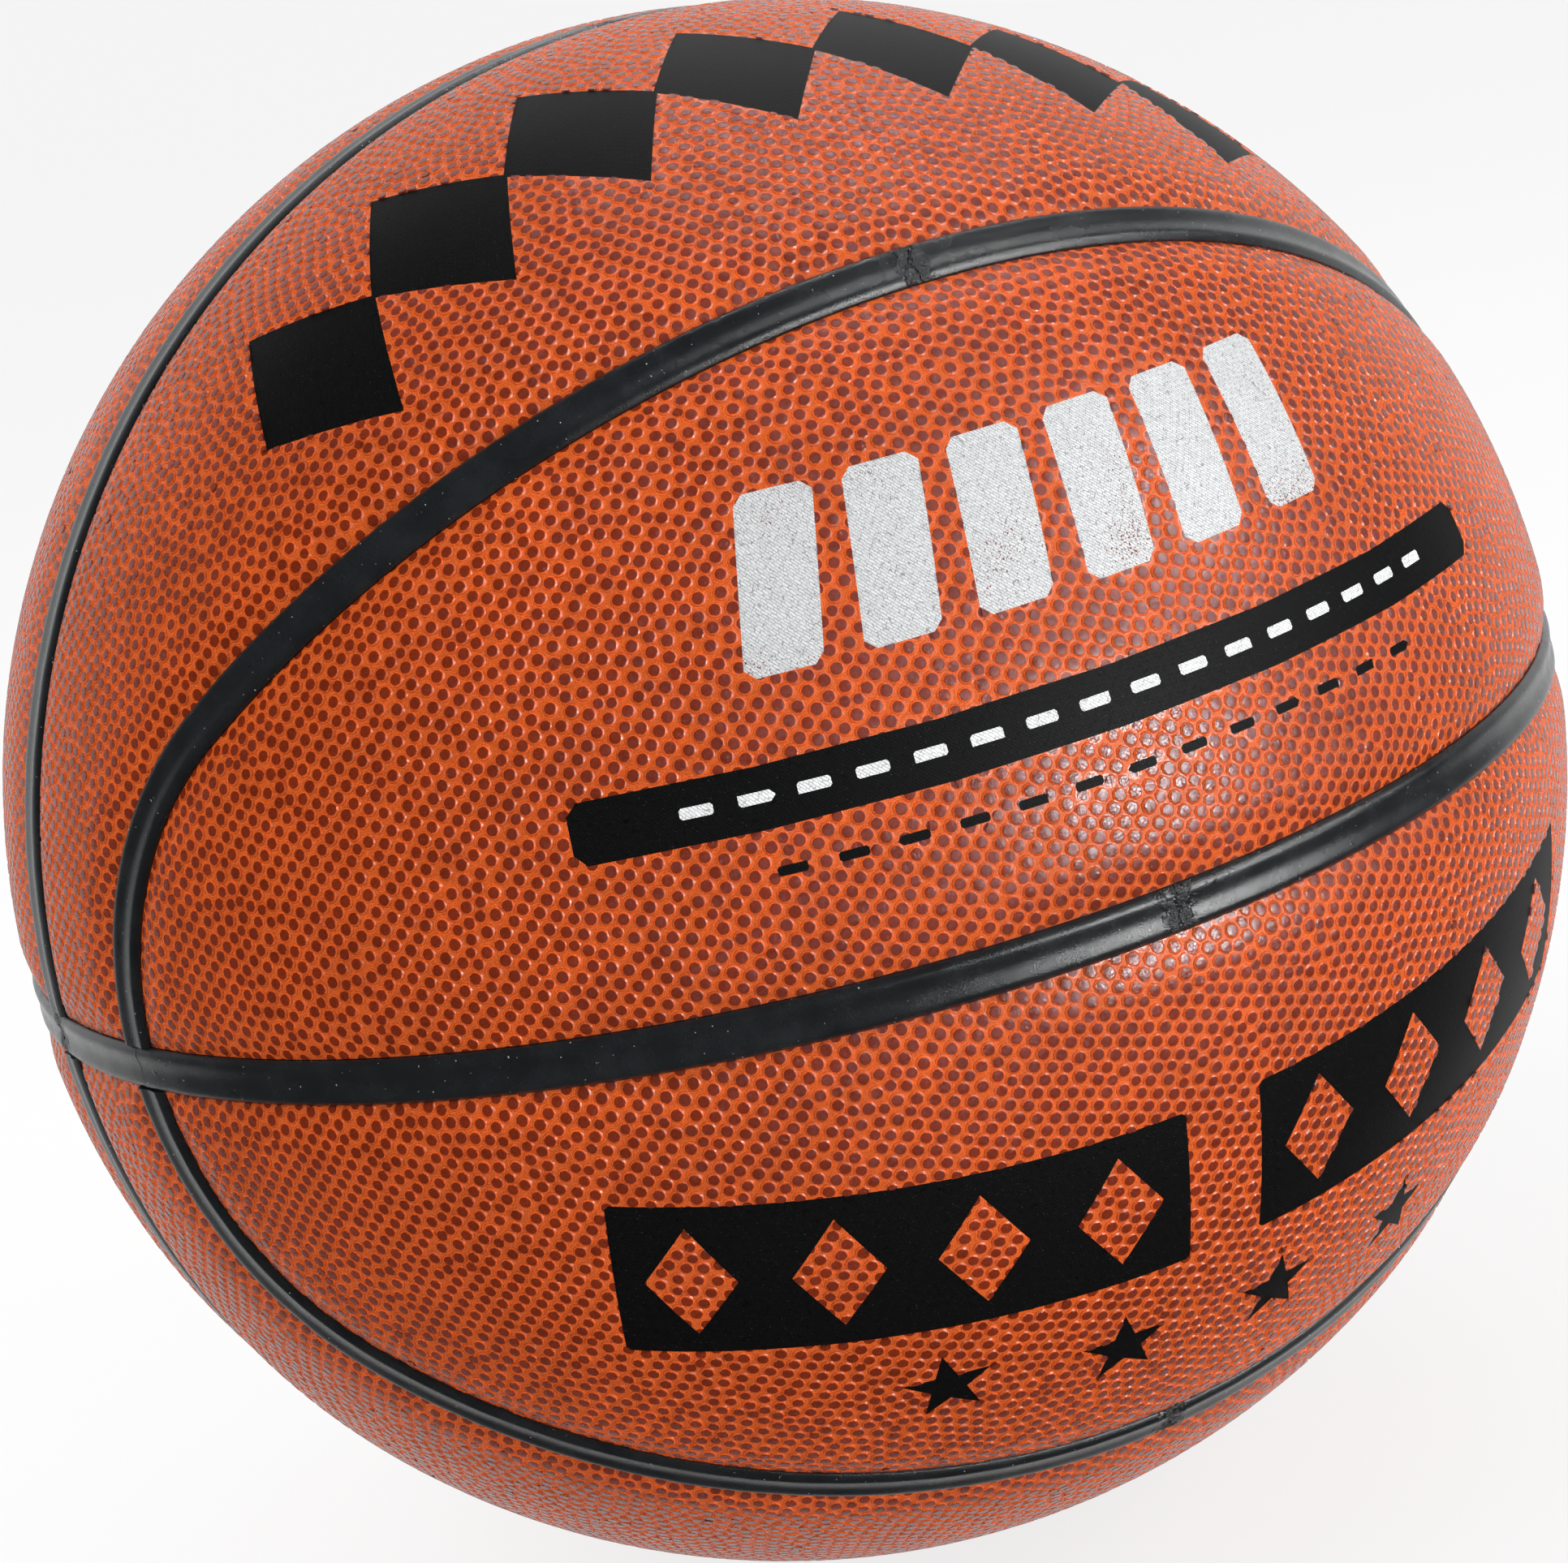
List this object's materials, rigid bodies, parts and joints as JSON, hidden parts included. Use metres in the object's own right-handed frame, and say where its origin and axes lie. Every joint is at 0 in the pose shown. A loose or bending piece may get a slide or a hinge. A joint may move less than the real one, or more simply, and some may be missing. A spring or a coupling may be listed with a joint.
{
  "type": "basketball",
  "caption": "Inflated ball for basketball: pebbled cover panels between inlaid rubber seam strips, on a carcass, thread winding and bladder, with a needle valve.",
  "frame": {"origin": "centre of the ball", "axes": "+Z square to the plane of the equator seam, +X towards the middle of the side loop seen in the picture, Y along the line where the equator and meridian seams cross"},
  "size_m": [0.2412, 0.241, 0.2412],
  "materials": {
    "cover_leather": "pebbled composite leather, satin",
    "seam_rubber": "satin black rubber",
    "carcass_rubber": "matt moulded rubber",
    "winding_nylon": "wound nylon thread",
    "bladder_butyl": "smooth butyl rubber",
    "valve_rubber": "matt black rubber"
  },
  "bodies": {
    "ball": {"bladder": "bladder_butyl", "thread_winding": "winding_nylon", "carcass": "carcass_rubber", "valve_housing": "valve_rubber", "side_panel_right_upper": "cover_leather", "side_panel_right_lower": "cover_leather", "side_panel_left_upper": "cover_leather", "side_panel_left_lower": "cover_leather", "centre_panel_right_upper": "cover_leather", "centre_panel_right_lower": "cover_leather", "centre_panel_left_upper": "cover_leather", "centre_panel_left_lower": "cover_leather", "equator_strip_right_front": "seam_rubber", "equator_strip_right_back": "seam_rubber", "equator_strip_left_front": "seam_rubber", "equator_strip_left_back": "seam_rubber", "equator_link_right_front": "seam_rubber", "equator_link_right_back": "seam_rubber", "equator_link_left_front": "seam_rubber", "equator_link_left_back": "seam_rubber", "meridian_strip_upper_front": "seam_rubber", "meridian_strip_upper_back": "seam_rubber", "meridian_strip_lower_front": "seam_rubber", "meridian_strip_lower_back": "seam_rubber", "loop_strip_right_upper_front": "seam_rubber", "loop_strip_right_upper_back": "seam_rubber", "loop_strip_right_lower_front": "seam_rubber", "loop_strip_right_lower_back": "seam_rubber", "loop_strip_left_upper_front": "seam_rubber", "loop_strip_left_upper_back": "seam_rubber", "loop_strip_left_lower_front": "seam_rubber", "loop_strip_left_lower_back": "seam_rubber"},
    "valve_core": {"valve_core": "valve_rubber"}
  },
  "joints": [
    {"name": "valve_core_slide", "type": "slide", "parent": "ball", "child": "valve_core", "axis": [-0.9781, 0, 0.2079], "range_m": [0, 0.018]}
  ]
}
